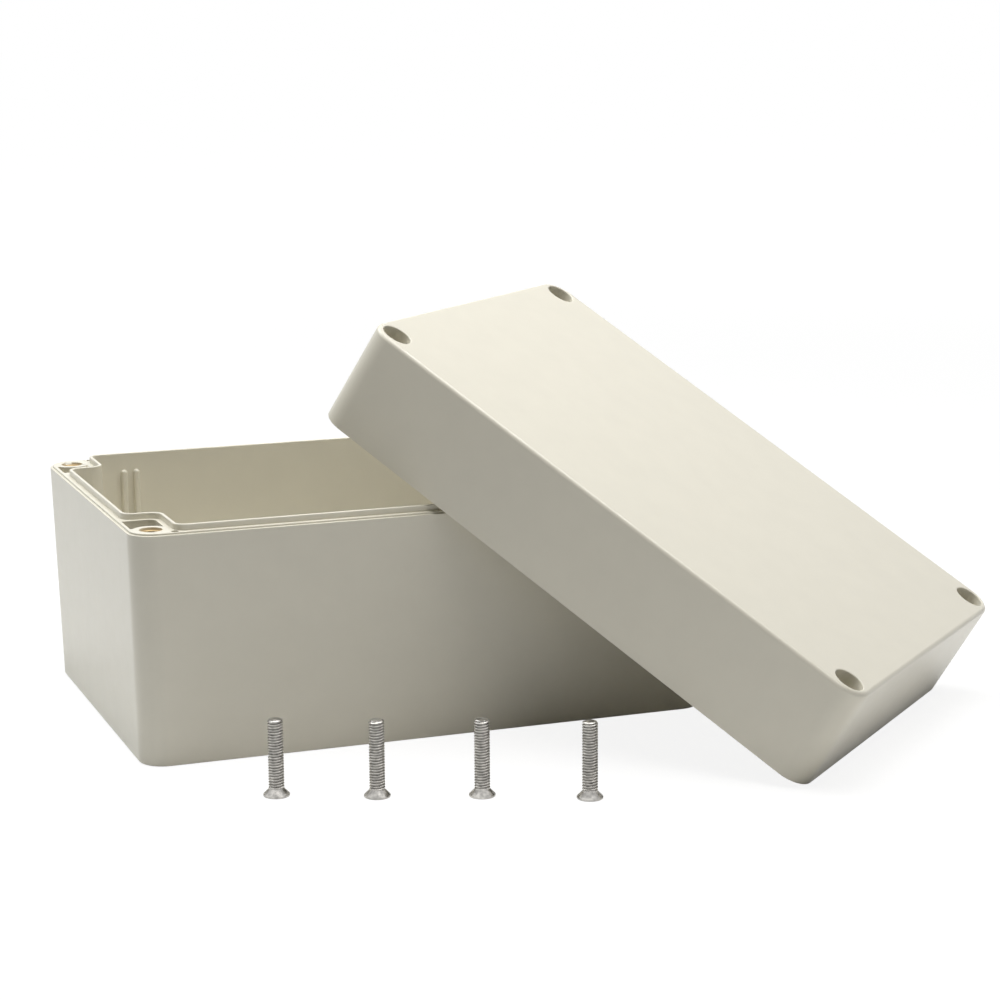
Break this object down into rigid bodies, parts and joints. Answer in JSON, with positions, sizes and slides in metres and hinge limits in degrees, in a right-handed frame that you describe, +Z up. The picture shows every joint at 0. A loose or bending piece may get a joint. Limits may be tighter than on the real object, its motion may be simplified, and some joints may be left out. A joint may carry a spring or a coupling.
{
  "type": "plastic project box",
  "caption": "Deep rectangular ABS electronics enclosure, open: the lid leans across a corner of the base with its gasket inside, and the countersunk lid screws stand on their heads beside it.",
  "frame": {"origin": "centre of the base's underside", "axes": "+X along the base's length, +Y across its width, +Z up out of its open top; the lid leans towards +X and -Y"},
  "size_m": [0.236, 0.1934, 0.1084],
  "materials": {
    "shell_plastic": "fine satin moulded ABS, warm light grey",
    "gasket_rubber": "soft matt sealing cord",
    "insert_brass": "turned brass",
    "screw_steel": "bright zinc-plated steel"
  },
  "bodies": {
    "root": {"base": "shell_plastic", "lid": "shell_plastic", "lid_gasket": "gasket_rubber", "insert_front_left": "insert_brass", "insert_front_right": "insert_brass", "insert_back_left": "insert_brass", "insert_back_right": "insert_brass", "lid_screws": "screw_steel"}
  },
  "joints": []
}
